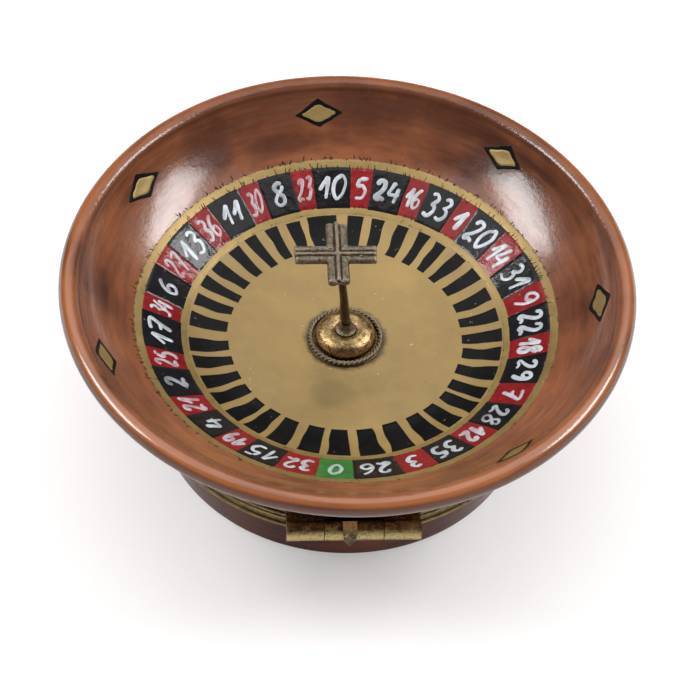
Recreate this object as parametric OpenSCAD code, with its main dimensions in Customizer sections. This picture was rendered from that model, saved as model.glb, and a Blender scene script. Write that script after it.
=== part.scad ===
// Hinged porcelain box in the shape of a roulette wheel, with a brass-mounted
// lid, a low base, a three-knuckle hinge, a snap clasp and a turning handle.
// Millimetres, +Z up. The origin is on the wheel's axis, in the plane the foot stands on.
// The hinge faces -Y and the clasp faces +Y.

/* [Lid bowl] */
// Outside diameter of the bowl at its lip
wheel_d = 70; // [66:1:76]
// Radius of the rounded lip, half the wall's thickness
lip_r = 1.25; // [1.1:0.05:1.5]
// Height of the bowl's floor at the centre
floor_z = 13.4; // [12.6:0.1:14]
// Thickness of the bowl's floor
bowl_t = 2.6; // [2.2:0.1:3]
// Slope of the numbered ring
ring_slope = 29; // [26:0.5:32]
// Slope of the outer wall where it starts
wall_low_slope = 33; // [31:0.5:35]
// Slope of the outer wall where its flare starts
wall_slope = 44; // [42:0.5:46]
// Slope of the wall where it turns up into the lip
lip_slope = 66; // [62:1:70]
// Radius of the curve between those two slopes
flare_r = 9.2; // [8.6:0.05:9.8]

/* [Base] */
// Outside radius of the base near its foot
foot_r = 23.4; // [22.5:0.1:24]
// Outside radius of both brass rims
rim_r = 25.5; // [25.2:0.1:26]
// Height at which the lid and the base part
parting_z = 9.4; // [9:0.05:9.8]
// Thickness of the base's wall
wall_t = 2.2; // [1.8:0.1:2.6]
// Thickness of the base's floor
base_floor_t = 2.4; // [2:0.1:3]
// Height of each brass rim
rim_h = 1.95; // [1.75:0.05:2.2]

/* [Hinge and clasp] */
// Outside radius of the hinge's knuckles
knuckle_r = 1.2; // [1.1:0.05:1.25]
// Length of the middle knuckle
mid_knuckle_l = 7; // [6:0.5:8]
// Length of each outer knuckle
side_knuckle_l = 4.4; // [3.5:0.05:6]
// Radius of the hinge's pin
pin_r = 0.5; // [0.4:0.05:0.6]
// Width of the clasp's tab
clasp_w = 5; // [4:0.5:7]

/* [Turret and handle] */
// Radius of the turret's dome
dome_r = 3.8; // [3.6:0.05:4]
// Height of the turret's dome
dome_h = 2.05; // [1.8:0.05:2.4]
// Radius of the handle's stem
stem_r = 0.5; // [0.4:0.05:0.6]
// Height of the cross's top face
cross_z = 29.6; // [28:0.1:31]
// Lean of the stem above its collar, in degrees
stem_lean = 6.5; // [0:0.5:8]
// Length of the left arm from the middle of the cross
arm_left_l = 5.2; // [4:0.1:6]
// Length of the right arm
arm_right_l = 4.7; // [4:0.1:6]
// Length of the arm that points to the clasp
arm_back_l = 4.9; // [4:0.1:6]
// Length of the arm that points to the hinge
arm_front_l = 4.6; // [3.5:0.1:6]

/* [Hidden] */

$fn = 96;
small_fn = 48;

porcelain = "sienna";
brass = "darkgoldenrod";
old_brass = "tan";

gap = 0.05;           // half the gap between the closed rims
solder_gap = 0.01;    // thickness of a soldered seam
running_gap = 0.03;   // radial clearance round a turning pin

// The bowl's upper surface: a shallow floor, an arc, the numbered cone, a bend, the hollow wall and
// the flare that turns it up into the lip.
floor_slope = 1.5;
floor_edge_r = 14.5;
ring_in_r = 20.5;
ring_out_r = 25.2;
wall_in_r = 26.6;
stem_hole_r = 1.3;

lip_c_r = wheel_d / 2 - lip_r;
floor_edge_z = floor_z + floor_edge_r * tan(floor_slope);
cove_r = (ring_in_r - floor_edge_r) / (sin(ring_slope) - sin(floor_slope));
cove_c = [floor_edge_r - cove_r * sin(floor_slope), floor_edge_z + cove_r * cos(floor_slope)];
ring_in_z = cove_c[1] - cove_r * cos(ring_slope);
ring_out_z = ring_in_z + (ring_out_r - ring_in_r) * tan(ring_slope);
bend_r = (wall_in_r - ring_out_r) / (sin(wall_low_slope) - sin(ring_slope));
bend_c = [ring_out_r - bend_r * sin(ring_slope), ring_out_z + bend_r * cos(ring_slope)];
wall_in_z = bend_c[1] - bend_r * cos(wall_low_slope);
wall_out_r = lip_c_r + flare_r * sin(wall_slope) - (flare_r + lip_r) * sin(lip_slope);
wall_r = (wall_out_r - wall_in_r) / (sin(wall_slope) - sin(wall_low_slope));
wall_c = [wall_in_r - wall_r * sin(wall_low_slope), wall_in_z + wall_r * cos(wall_low_slope)];
wall_out_z = wall_c[1] - wall_r * cos(wall_slope);
flare_c = [wall_out_r - flare_r * sin(wall_slope), wall_out_z + flare_r * cos(wall_slope)];
lip_c_z = flare_c[1] - (flare_r + lip_r) * cos(lip_slope);

// The neck under the bowl, which the lid's rim is fitted round.
neck_r = rim_r - 0.6;
neck_in_r = neck_r - 2;
shoulder_r = rim_r - 0.1;
under_slope = 50;
shoulder_z = lip_c_z - lip_r * cos(under_slope)
    - (lip_c_r + lip_r * sin(under_slope) - shoulder_r) * tan(under_slope);
flange_t = 0.35;
neck_bottom_z = parting_z + gap + flange_t + solder_gap;
lid_rim_top_z = parting_z + gap + rim_h;

base_top_z = parting_z - gap - flange_t - solder_gap;
base_rim_low_z = parting_z - gap - rim_h;
base_shoulder_r = rim_r - 0.35;
foot_round = 0.6;
foot_in_r = foot_r - 2.8;
foot_recess = 0.6;
cavity_round = 1.5;

// The hinge's axis lies outside the rims, level with the lid's rim.
rim_out_r = rim_r + 0.14;   // over the rims' beads
hinge_out = 1.46;           // from the rims' beads out to the axis
hinge_y = -(rim_out_r + hinge_out);
hinge_z = parting_z + 1.05;
knuckle_gap = 0.1;
side_knuckle_x = mid_knuckle_l / 2 + knuckle_gap + side_knuckle_l / 2;
web_reach = 3;        // how far a web runs in from the hinge's axis before the rim cuts it
stop_top = hinge_out - 0.06;    // the open lid's rim lies flat just over the stop
stop_w = 1.7;
stop_x = -0.5;        // the stop was soldered a little off the middle
stop_front = -0.95;
stop_back = 0.3;
stop_tip = [-1.45, -1.15];

clasp_t = 0.9;
clasp_low_z = parting_z - 3.3;
clasp_gap = 0.1;
stud_z = parting_z - 1.3;
stud_r = 0.6;
stud_out = 0.4;
slot_d = 0.5;

// The dome swells from its flange to a crown, and dips a little inside it.
dome_flange_r = dome_r + 0.9;
dome_flange_t = 0.2;
dome_low_z = floor_z + dome_flange_r * tan(floor_slope) + solder_gap;
crown_r = 2.15;
waist_z = 0.5;        // height of the dome's widest point over its foot
dome_t = 0.45;
dome_hole_r = stem_r + 0.22;
collar_r = 1.3;
collar_h = 1.2;
collar_sweep = 1.1;   // radius of the collar's hollow side
collar_low_z = dome_low_z + dome_z(collar_r) + 2 * solder_gap;
collar_top_z = collar_low_z + collar_h;
rope_r = 0.22;        // radius of the twisted wire
rope_ring_r = dome_r + 0.55;

under_z = floor_z - bowl_t;
washer_t = 0.4;
nut_t = 1.2;
nut_af = 3.2;
stem_low_z = under_z - washer_t - 0.4 - nut_t - 0.5;

// A handle arm is two round wires side by side with a thinner one raised between them.
wire_r = 0.52;
wire_pitch = 0.8;
top_wire_r = 0.3;
top_wire_up = 0.26;
arm_w = wire_pitch + wire_r;
cross_c_z = cross_z - top_wire_up - top_wire_r;
cross_shift = -0.15;  // the cross is soldered a little off the stem

function arc(c, r, from, to, n) =
    [for (i = [0 : n]) let (a = from + (to - from) * i / n) [c[0] + r * cos(a), c[1] + r * sin(a)]];

// Height of the dome's outer face over its foot, at radius r
function dome_z(r) = waist_z + (dome_h - waist_z) * sqrt(1 - pow((r - crown_r) / (dome_r - crown_r), 2));

// Points round the dome's section: an ellipse about the crown, drawn inward by t.
function swell(t, from, to, n) =
    [for (i = [0 : n]) let (a = from + (to - from) * i / n)
        [crown_r + (dome_r - crown_r - t) * cos(a), waist_z + (dome_h - waist_z - t) * sin(a)]];

// The bowl's section, from the stem's hole out over the lip and back under the floor.
function bowl_top() = concat(
    [[stem_hole_r, floor_z + stem_hole_r * tan(floor_slope)]],
    arc(cove_c, cove_r, floor_slope - 90, ring_slope - 90, 10),
    arc(bend_c, bend_r, ring_slope - 90, wall_low_slope - 90, 4),
    arc(wall_c, wall_r, wall_low_slope - 90, wall_slope - 90, 8),
    arc(flare_c, flare_r, wall_slope - 90, lip_slope - 90, 8),
    arc([lip_c_r, lip_c_z], lip_r, 90 + lip_slope, under_slope - 90, 24));

function bowl_under() = concat(
    [[shoulder_r, shoulder_z], [shoulder_r, lid_rim_top_z + 0.05], [neck_r, lid_rim_top_z + 0.05],
     [neck_r, neck_bottom_z], [neck_in_r, neck_bottom_z],
     [neck_in_r, ring_in_z + (neck_in_r - ring_in_r) * tan(ring_slope) - bowl_t / cos(ring_slope)]],
    arc(cove_c, cove_r + bowl_t, ring_slope - 90, floor_slope - 90, 8),
    [[stem_hole_r, under_z + stem_hole_r * tan(floor_slope)]]);

module lathe(points, fn = $fn) {
    rotate_extrude($fn = fn) polygon(points);
}

module lid_bowl() {
    color(porcelain) lathe(concat(bowl_top(), bowl_under()));
}

module base_shell() {
    color(porcelain) lathe(concat(
        [[0, foot_recess], [foot_in_r - foot_recess, foot_recess], [foot_in_r, 0],
         [foot_r - foot_round, 0]],
        arc([foot_r - foot_round, foot_round], foot_round, -90, -18, 6),
        [[base_shoulder_r, base_rim_low_z - 0.05], [neck_r, base_rim_low_z - 0.05],
         [neck_r, base_top_z], [neck_r - wall_t, base_top_z]],
        arc([foot_r - wall_t - cavity_round, base_floor_t + cavity_round], cavity_round, -15, -90, 6),
        [[0, base_floor_t]]));
}

// A rim is an angle ring: a band round the porcelain with a bead along each edge, and a flange
// over the porcelain's edge. It is drawn with the flange down.
module rim(height) {
    bead = 0.28;
    band_r = rim_r - bead / 2;
    lathe(concat(
        [[neck_in_r, 0], [band_r, 0]],
        arc([band_r, bead], bead, -90, 90, 8),
        arc([band_r, height - bead], bead, -90, 90, 8),
        [[neck_r + solder_gap, height], [neck_r + solder_gap, flange_t], [neck_in_r, flange_t]]));
}

module lid_rim() {
    color(brass) translate([0, 0, parting_z + gap]) rim(rim_h);
}

module base_rim() {
    color(brass) translate([0, 0, parting_z - gap]) mirror([0, 0, 1]) rim(rim_h);
}

// A knuckle is a barrel with a web that joins it to its rim.
lid_web = [[0, -0.55], [web_reach, -0.55], [web_reach, 0.8], [0, 0.8]];
base_web = [[-0.3, -1.1], [web_reach, -2.3], [web_reach, -1.12], [1.4, -1.12], [0.9, -0.7], [0, -0.5]];
module knuckle(x, length, bore_r, web) {
    difference() {
        translate([x, hinge_y, hinge_z]) rotate([90, 0, 90]) linear_extrude(length, center = true) {
            circle(knuckle_r, $fn = small_fn);
            polygon(web);
        }
        translate([x, hinge_y, hinge_z]) rotate([0, 90, 0])
            cylinder(h = length + 2, r = bore_r, center = true, $fn = small_fn);
        // The rims bulge at their beads, so a web stops just outside them.
        translate([0, 0, parting_z - 5]) cylinder(h = 10, r = rim_out_r + solder_gap);
    }
}

module base_knuckle() {
    color(brass) knuckle(0, mid_knuckle_l, pin_r + solder_gap, base_web);
}

module lid_knuckle_left() {
    color(brass) knuckle(-side_knuckle_x, side_knuckle_l, pin_r + running_gap, lid_web);
}

module lid_knuckle_right() {
    color(brass) knuckle(side_knuckle_x, side_knuckle_l, pin_r + running_gap, lid_web);
}

// The stop is a beak down the middle knuckle: the lid's rim comes down on its flat top.
module hinge_stop() {
    color(brass) translate([stop_x, hinge_y, hinge_z]) difference() {
        hull() {
            translate([-stop_w / 2, stop_front, stop_top - 0.35])
                cube([stop_w, stop_back - stop_front, 0.35]);
            translate([-stop_w * 0.42, -1.4, -0.2]) cube([stop_w * 0.84, 0.9, 0.4]);
            translate([-0.15, stop_tip[0], stop_tip[1]]) cube([0.3, 0.5, 0.25]);
        }
        rotate([0, 90, 0])
            cylinder(h = 4, r = knuckle_r + solder_gap, center = true, $fn = small_fn);
    }
}

module hinge_pin() {
    pin_l = 2 * (side_knuckle_x + side_knuckle_l / 2) - 0.1;
    color(old_brass) translate([0, hinge_y, hinge_z]) rotate([0, 90, 0])
        cylinder(h = pin_l, r = pin_r, center = true, $fn = small_fn);
}

module catch_stud() {
    color(brass) difference() {
        translate([0, rim_out_r + stud_out - stud_r, stud_z]) sphere(stud_r, $fn = small_fn);
        translate([0, 0, stud_z - 2]) cylinder(h = 4, r = rim_out_r + solder_gap);
    }
}

// The clasp's tab is bent to the rims' curve. A slot up its inner face passes the stud.
module clasp_tab() {
    in_r = rim_out_r + clasp_gap;
    color(brass) difference() {
        intersection() {
            translate([0, 0, clasp_low_z]) cylinder(h = lid_rim_top_z - clasp_low_z, r = in_r + clasp_t);
            translate([0, in_r, lid_rim_top_z]) rotate([90, 0, 0]) linear_extrude(6, center = true) {
                translate([-clasp_w / 2, -2.6]) square([clasp_w, 2.6]);
                intersection() {
                    translate([0, -2.6]) circle(clasp_w / 2, $fn = small_fn);
                    translate([-clasp_w / 2, -8]) square([clasp_w, 5.5]);
                }
            }
        }
        cylinder(h = 30, r = in_r);
        translate([-stud_r - 0.15, 0, clasp_low_z - 2])
            cube([2 * stud_r + 0.3, in_r + slot_d, stud_z + stud_r + 0.15 - clasp_low_z + 2]);
    }
    // The pad that solders the tab to the lid's rim.
    color(brass) intersection() {
        translate([-clasp_w / 2, 20, parting_z + 0.5]) cube([clasp_w, 8, rim_h - 0.6]);
        difference() {
            translate([0, 0, parting_z]) cylinder(h = rim_h, r = in_r + 0.2);
            translate([0, 0, parting_z - 1])
                cylinder(h = rim_h + 2, r = rim_out_r + solder_gap);
        }
    }
}

// The thumb bead on the tab's lower end.
module clasp_bead() {
    tab_r = rim_out_r + clasp_gap + clasp_t;
    color(brass) difference() {
        translate([0, tab_r + 0.35, clasp_low_z + 1]) sphere(0.8, $fn = small_fn);
        cylinder(h = 20, r = tab_r + solder_gap);
    }
}

module turret_dome() {
    foot_r = dome_r - dome_t;
    color(old_brass) translate([0, 0, dome_low_z]) lathe(concat(
        [[foot_r, 0], [dome_flange_r, 0], [dome_flange_r, dome_flange_t - 0.08],
         [dome_flange_r - 0.08, dome_flange_t]],
        swell(0, -11, 90, 14), swell(0, 98, 150, 5),
        [[dome_hole_r, dome_z(dome_hole_r) - 0.25]],
        swell(dome_t, 140, 0, 14)), small_fn);
}

module turret_rope_ring() {
    color(old_brass) translate([0, 0, dome_low_z + dome_flange_t + rope_r + solder_gap])
        rotate_extrude() translate([rope_ring_r, 0]) circle(rope_r, $fn = small_fn);
}

// The collar is a bell-mouthed ferrule on the dome, where the stem comes out.
module turret_collar() {
    bore = stem_r + running_gap;
    top_r = collar_r + 0.45 - collar_sweep;
    color(old_brass) lathe(concat(
        [[bore, collar_top_z], [bore, collar_low_z], [collar_r, collar_low_z],
         [collar_r, collar_low_z + 0.12]],
        arc([collar_r + 0.45, collar_low_z + 1.12], collar_sweep, 245, 180, 8),
        [[top_r, collar_top_z]]), small_fn);
}

// The bush lines the hole through the porcelain, flanged underneath.
module turret_bush() {
    out_r = stem_hole_r - solder_gap;
    top_z = floor_z + 0.3;
    color(brass) difference() {
        union() {
            translate([0, 0, under_z - 0.35]) cylinder(h = top_z - under_z + 0.35, r = out_r, $fn = small_fn);
            translate([0, 0, under_z - 0.35]) cylinder(h = 0.34, r = 2.4, $fn = small_fn);
        }
        translate([0, 0, under_z - 1]) cylinder(h = 6, r = stem_r + running_gap, $fn = small_fn);
    }
}

module turret_washer() {
    color(brass) translate([0, 0, under_z - 0.36 - washer_t]) difference() {
        cylinder(h = washer_t, r = 2.1, $fn = small_fn);
        translate([0, 0, -1]) cylinder(h = 3, r = stem_r + 0.08, $fn = small_fn);
    }
}

// The stem leans above its collar, and the cross lies level on it.
ball_r = stem_r + 0.12;
bend_z = collar_top_z + 0.05 + ball_r;
stem_l = (cross_c_z - wire_r - solder_gap - bend_z) / cos(stem_lean) - stem_r * tan(stem_lean);
cross_x = -(cross_c_z - bend_z) * tan(stem_lean) + cross_shift;
module leaning() {
    translate([0, 0, bend_z]) rotate([0, -stem_lean, 0]) children();
}

module handle_stem() {
    color(old_brass) {
        translate([0, 0, stem_low_z]) cylinder(h = bend_z - stem_low_z, r = stem_r, $fn = small_fn);
        translate([0, 0, bend_z]) sphere(ball_r, $fn = small_fn);
        leaning() cylinder(h = stem_l, r1 = stem_r + 0.09, r2 = stem_r - 0.06, $fn = small_fn);
    }
}

// The ring of solder under the cross.
module handle_solder() {
    color(old_brass) leaning() difference() {
        translate([0, 0, stem_l - 0.9]) cylinder(h = 0.85, r1 = stem_r + 0.1, r2 = stem_r + 0.4,
            $fn = small_fn);
        cylinder(h = stem_l + 1, r = stem_r + 0.05, $fn = small_fn);
    }
}

// One arm, drawn along +X and mitred at the middle of the cross.
module arm(length, angle) {
    side = arm_w + 0.2;
    color(old_brass) translate([cross_x, 0, cross_c_z]) rotate([0, 0, angle]) intersection() {
        rotate([90, 0, 90]) linear_extrude(length) {
            translate([-wire_pitch, 0]) circle(wire_r, $fn = small_fn);
            translate([wire_pitch, 0]) circle(wire_r, $fn = small_fn);
            translate([0, top_wire_up]) circle(top_wire_r, $fn = small_fn);
            translate([-wire_pitch, -wire_r * 0.7]) square([2 * wire_pitch, wire_r]);
        }
        translate([0, 0, -2]) linear_extrude(4)
            polygon([[0, 0], [side, -side], [length + 1, -side], [length + 1, side], [side, side]]);
    }
}

module retaining_nut() {
    color(brass) translate([0, 0, under_z - 0.36 - washer_t - 0.05 - nut_t]) difference() {
        cylinder(h = nut_t, r = nut_af / 2 / cos(30), $fn = 6);
        translate([0, 0, -1]) cylinder(h = nut_t + 2, r = stem_r + solder_gap, $fn = small_fn);
    }
}

base_shell();
base_rim();
base_knuckle();
hinge_stop();
hinge_pin();
catch_stud();
lid_bowl();
lid_rim();
lid_knuckle_left();
lid_knuckle_right();
clasp_tab();
clasp_bead();
turret_dome();
turret_rope_ring();
turret_collar();
turret_bush();
turret_washer();
handle_stem();
arm(arm_left_l, 180);  // handle_arm_left
arm(arm_right_l, 0);  // handle_arm_right
arm(arm_back_l, 90);  // handle_arm_back
arm(arm_front_l, -90);  // handle_arm_front
handle_solder();
retaining_nut();
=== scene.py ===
"""A hinged porcelain box in the shape of a roulette wheel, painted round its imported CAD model.

The lid's paint is built as thin raised enamel: gilding, pockets, brushed numbers, bars and
diamonds all follow the lid's own section, which is read from the CAD node. Lengths in the
tables and calls below are millimetres, angles are degrees counter-clockwise seen from above
with 0 along +X, and MM turns them into metres.
"""
import math
import random

import bmesh
import bpy
import numpy as np
from mathutils import Matrix, Vector, noise


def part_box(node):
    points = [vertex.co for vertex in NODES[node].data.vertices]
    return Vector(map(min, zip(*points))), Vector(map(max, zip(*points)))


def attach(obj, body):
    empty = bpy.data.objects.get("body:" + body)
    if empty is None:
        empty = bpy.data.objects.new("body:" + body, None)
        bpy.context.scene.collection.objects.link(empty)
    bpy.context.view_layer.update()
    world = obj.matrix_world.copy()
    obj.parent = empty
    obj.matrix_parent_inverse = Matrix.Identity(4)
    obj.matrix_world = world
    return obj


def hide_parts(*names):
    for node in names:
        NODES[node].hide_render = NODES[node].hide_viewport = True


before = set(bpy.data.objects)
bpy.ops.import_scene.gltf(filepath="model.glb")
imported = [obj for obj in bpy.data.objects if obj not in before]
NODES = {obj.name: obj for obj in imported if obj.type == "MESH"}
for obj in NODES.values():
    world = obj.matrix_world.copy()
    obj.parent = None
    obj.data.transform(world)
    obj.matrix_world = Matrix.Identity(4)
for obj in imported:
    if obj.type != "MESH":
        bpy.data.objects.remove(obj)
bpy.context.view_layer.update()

MM = 0.001
PI2 = 2 * math.pi

# ---------------------------------------------------------------- the wheel's layout

# Each pocket's number and width, clockwise from the zero. The widths are shares of the circle,
# near to degrees, and differ because the pockets were brushed by eye.
POCKETS = [
    (0, 10.4), (32, 11.4), (15, 11.3), (19, 7.8), (4, 10.8), (21, 7.9), (2, 12.1), (25, 7.3),
    (17, 13.9), (34, 6.4), (6, 11.1), (27, 7.5), (13, 11.0), (36, 8.0), (11, 11.3), (30, 6.6),
    (8, 10.6), (23, 6.5), (10, 11.7), (5, 6.8), (24, 10.9), (16, 6.6), (33, 10.5), (1, 6.6),
    (20, 11.6), (14, 9.1), (31, 11.3), (9, 8.2), (22, 11.0), (18, 8.0), (29, 11.5), (7, 9.3),
    (28, 11.1), (12, 8.9), (35, 11.4), (3, 10.2), (26, 13.7)]
ZERO_AT = -95.5         # middle of the zero's pocket
RING = (20.55, 25.05)   # radii of the numbered ring, and below of the lines and bars round it
GOLD_LINE = (24.95, 26.2)
INNER_LINE = (19.55, 20.65)
BARS = (14.6, 19.45)
# Where each black bar of the floor was brushed
BARS_AT = [-175, -166, -156, -147, -137, -128, -118, -106, -95, -83, -71, -59, -49, -39, -31, -21, -11,
           -2, 8, 18, 29, 39, 48, 56, 65, 75, 84, 97, 108, 117, 126, 135, 145, 154, 163, 173]
WIDE_BAR = 97           # this one fills two spaces
FLOOR_GOLD_IN = 4.0
DIAMONDS = [(94.7, 30.8), (47.3, 30.8), (-3.5, 30.8), (-53.2, 30.8), (-107, 31.7), (-161.1, 30.8),
            (144.5, 30.8)]     # each one's angle and radius
DIAMOND_SIZE = (6.2, 3.5)  # along the rim, across it
DIAMOND_LINE = (1.5, 1.15)  # how much smaller the gilt inside it is
DIGIT_H = 3.0
DIGIT_R = 22.85         # radius of the digits' middle
DIGIT_GAP = 0.14        # between two digits, in the units of DIGITS
BRUSH_W = 0.67

# Heights of the paint over the porcelain
H_GOLD = 0.012
H_POCKET = 0.018
H_BAR = 0.025
H_LINE = 0.045
H_DIGIT = 0.075
SUNK = 0.006            # how far a patch's edge runs under the surface


# ---------------------------------------------------------------- small helpers

def smooth_path(points, step, closed=False):
    """A Catmull-Rom curve through points, sampled about every step."""
    p = [np.array(q, float) for q in points]
    n = len(p)
    out = []
    for i in range(n if closed else n - 1):
        a, b, c, d = (p[(i + k) % n] if closed else p[min(max(i + k, 0), n - 1)]
                      for k in (-1, 0, 1, 2))
        count = max(1, int(round(np.linalg.norm(c - b) / step)))
        for k in range(count):
            t = k / count
            out.append(0.5 * (2 * b + (c - a) * t + (2 * a - 5 * b + 4 * c - d) * t * t
                              + (3 * b - a - 3 * c + d) * t ** 3))
    if not closed:
        out.append(p[-1])
    return np.array(out)


def resample(points, step, closed):
    """Points along straight runs, no further apart than step."""
    out = []
    n = len(points)
    for i in range(n if closed else n - 1):
        a, b = np.array(points[i]), np.array(points[(i + 1) % n])
        count = max(1, math.ceil(np.linalg.norm(b - a) / step))
        out += [a + (b - a) * k / count for k in range(count)]
    if not closed:
        out.append(np.array(points[-1]))
    return np.array(out)


def chaikin(points, closed):
    """One round of corner cutting."""
    p = np.array(points)
    q = np.roll(p, -1, axis=0) if closed else p[1:]
    p0 = p if closed else p[:-1]
    out = np.empty((2 * len(p0), 2))
    out[0::2] = 0.75 * p0 + 0.25 * q
    out[1::2] = 0.25 * p0 + 0.75 * q
    return out if closed else np.vstack([p[:1], out, p[-1:]])


def new_object(name, verts, faces, materials, face_material=None):
    """A smooth-shaded mesh object, its faces turned outward."""
    mesh = bpy.data.meshes.new(name)
    mesh.from_pydata([tuple(v) for v in verts], [], [tuple(f) for f in faces])
    for m in materials:
        mesh.materials.append(m)
    if face_material is not None:
        mesh.polygons.foreach_set("material_index", face_material)
    mesh.validate()
    bm = bmesh.new()
    bm.from_mesh(mesh)
    bmesh.ops.recalc_face_normals(bm, faces=bm.faces)
    bm.to_mesh(mesh)
    bm.free()
    mesh.polygons.foreach_set("use_smooth", [True] * len(mesh.polygons))
    obj = bpy.data.objects.new(name, mesh)
    bpy.context.scene.collection.objects.link(obj)
    return obj


def section(node):
    """The outline of a turned CAD node in the half-plane x > 0, in order, as (r, z) in metres."""
    bm = bmesh.new()
    bm.from_mesh(NODES[node].data)
    bmesh.ops.remove_doubles(bm, verts=bm.verts, dist=1e-7)
    # The plane lies a hair beside the axis, so it misses the vertices there.
    cut = bmesh.ops.bisect_plane(bm, geom=bm.verts[:] + bm.edges[:] + bm.faces[:], dist=1e-9,
                                 plane_co=(0, 1.3e-6, 0), plane_no=(0, 1, 0))["geom_cut"]
    near = {}
    for e in cut:
        if isinstance(e, bmesh.types.BMEdge) and all(v.co.x > -1e-7 for v in e.verts):
            a, b = ((round(v.co.x, 8), round(v.co.z, 8)) for v in e.verts)
            near.setdefault(a, set()).add(b)
            near.setdefault(b, set()).add(a)
    bm.free()
    ends = [p for p, q in near.items() if len(q) == 1]
    closed = not ends
    path = [max(near, key=lambda p: p[1]) if closed else max(ends, key=lambda p: p[1])]
    while True:
        onward = [q for q in near[path[-1]] if q not in path[-2:] and q not in path[:1]]
        if not onward:
            break
        path.append(onward[0])
        if len(path) > len(near):
            break
    path = np.array(path)
    if not closed:
        path = np.vstack([[[0, path[0][1]]], path, [[0, path[-1][1]]]])
    kept = [path[0]]
    for p in path[1:]:
        if np.linalg.norm(p - kept[-1]) > 0.03 * MM:
            kept.append(p)
    return np.array(kept), closed


LIP_R, _, LIP_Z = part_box("lid_bowl")[1]
WANDER = 0.12 * MM      # how far the thrown lip wanders off a true circle


def wander(a, z):
    """The lid's small hand-made error at angle a (radians): offsets in r and z."""
    rise = max(0.0, (z - 0.5 * LIP_Z) / (0.5 * LIP_Z))
    s = WANDER * rise * noise.noise(Vector((1.3 * math.cos(a), 1.3 * math.sin(a), 40 * z)))
    return s, 0.8 * s


def turned(name, node, materials, step=0.45, count=320, zone=None, uneven=False):
    """A dense copy of a turned CAD node, its corners just broken, which stands for it.
    zone(r, z) picks a material for each face."""
    outline, closed = section(node)
    outline = chaikin(resample(outline, step * MM, closed), closed)
    n = len(outline)
    verts, faces, picks = [], [], []
    for k in range(count):
        a = PI2 * k / count
        for r, z in outline:
            dr, dz = wander(a, z) if uneven else (0, 0)
            verts.append(((r + dr) * math.cos(a), (r + dr) * math.sin(a), z + dz))
    for k in range(count):
        q = (k + 1) % count
        for i in range(n if closed else n - 1):
            j = (i + 1) % n
            middle = (outline[i] + outline[j]) / 2
            if middle[0] < 1e-6:
                continue
            ring = [k * n + i, q * n + i, q * n + j, k * n + j]
            if outline[i][0] < 1e-6:
                ring = [i, q * n + j, k * n + j]
            if outline[j][0] < 1e-6:
                ring = [k * n + i, q * n + i, j]
            faces.append(ring)
            picks.append(zone(*middle) if zone else 0)
    obj = new_object(name, verts, faces, materials, picks)
    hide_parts(node)
    return obj


# ---------------------------------------------------------------- the lid's painted surface

def upper_run():
    """The lid's upper section, from the stem's hole (1.3 mm in radius) to the top of the lip."""
    outline, _ = section("lid_bowl")
    top = int(np.argmax(outline[:, 1]))
    outline = np.roll(outline, -top, axis=0)
    for path in (outline, np.vstack([outline[:1], outline[:0:-1]])):
        hole = next(i for i, p in enumerate(path) if p[0] < 1.35 * MM)
        run = path[:hole + 1]
        if run[:, 0].max() < LIP_R - 0.5 * MM:
            return chaikin(resample(run, 0.3 * MM, False), False)[::-1]


RUN = upper_run()
RUN_R = RUN[:, 0] / MM
RUN_Z = RUN[:, 1] / MM
RUN_SLOPE = np.gradient(RUN_Z, RUN_R)


def on_lid(theta, r, h):
    """Points h mm over the lid's upper surface, as an (n, 3) array in metres."""
    theta, r, h = (np.asarray(v, float).ravel() for v in np.broadcast_arrays(theta, r, h))
    z = np.interp(r, RUN_R, RUN_Z)
    slope = np.interp(r, RUN_R, RUN_SLOPE)
    lean = np.sqrt(1 + slope ** 2)
    rr = (r - h * slope / lean) * MM
    zz = (z + h / lean) * MM
    a = np.radians(theta)
    off = np.array([wander(p, q) for p, q in zip(a, zz)])
    rr = rr + off[:, 0]
    zz = zz + off[:, 1]
    return np.column_stack([rr * np.cos(a), rr * np.sin(a), zz])


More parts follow.
